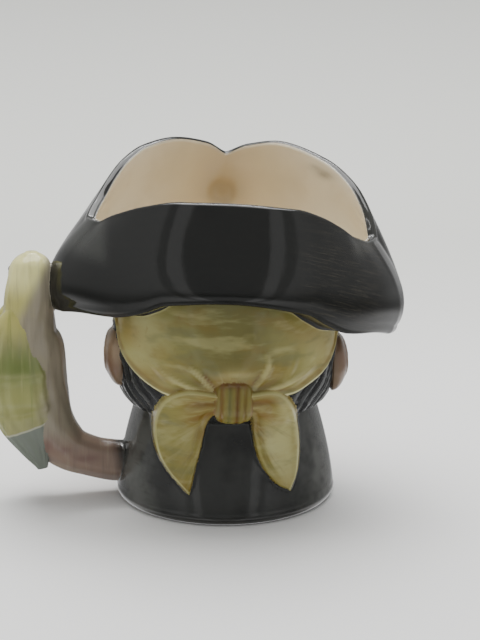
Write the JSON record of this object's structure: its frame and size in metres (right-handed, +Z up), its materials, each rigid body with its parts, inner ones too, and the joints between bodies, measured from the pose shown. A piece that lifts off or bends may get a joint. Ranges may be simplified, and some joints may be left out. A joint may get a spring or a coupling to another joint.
{
  "type": "character mug",
  "caption": "Glazed slip-cast mug shaped as a sailor's head in a cocked hat that opens as its mouth, with a knotted head scarf and a bird for its side handle.",
  "frame": {"origin": "centre of the flat underside of the round foot", "axes": "+Z up and out of the open hat, +Y out of the face, the scarf's knot on -Y and the bird handle on -X"},
  "size_m": [0.1228, 0.0881, 0.1001],
  "materials": {
    "glaze": "glossy painted glaze, near-black on the hat and coat"
  },
  "bodies": {
    "root": {"mug": "glaze"}
  },
  "joints": []
}
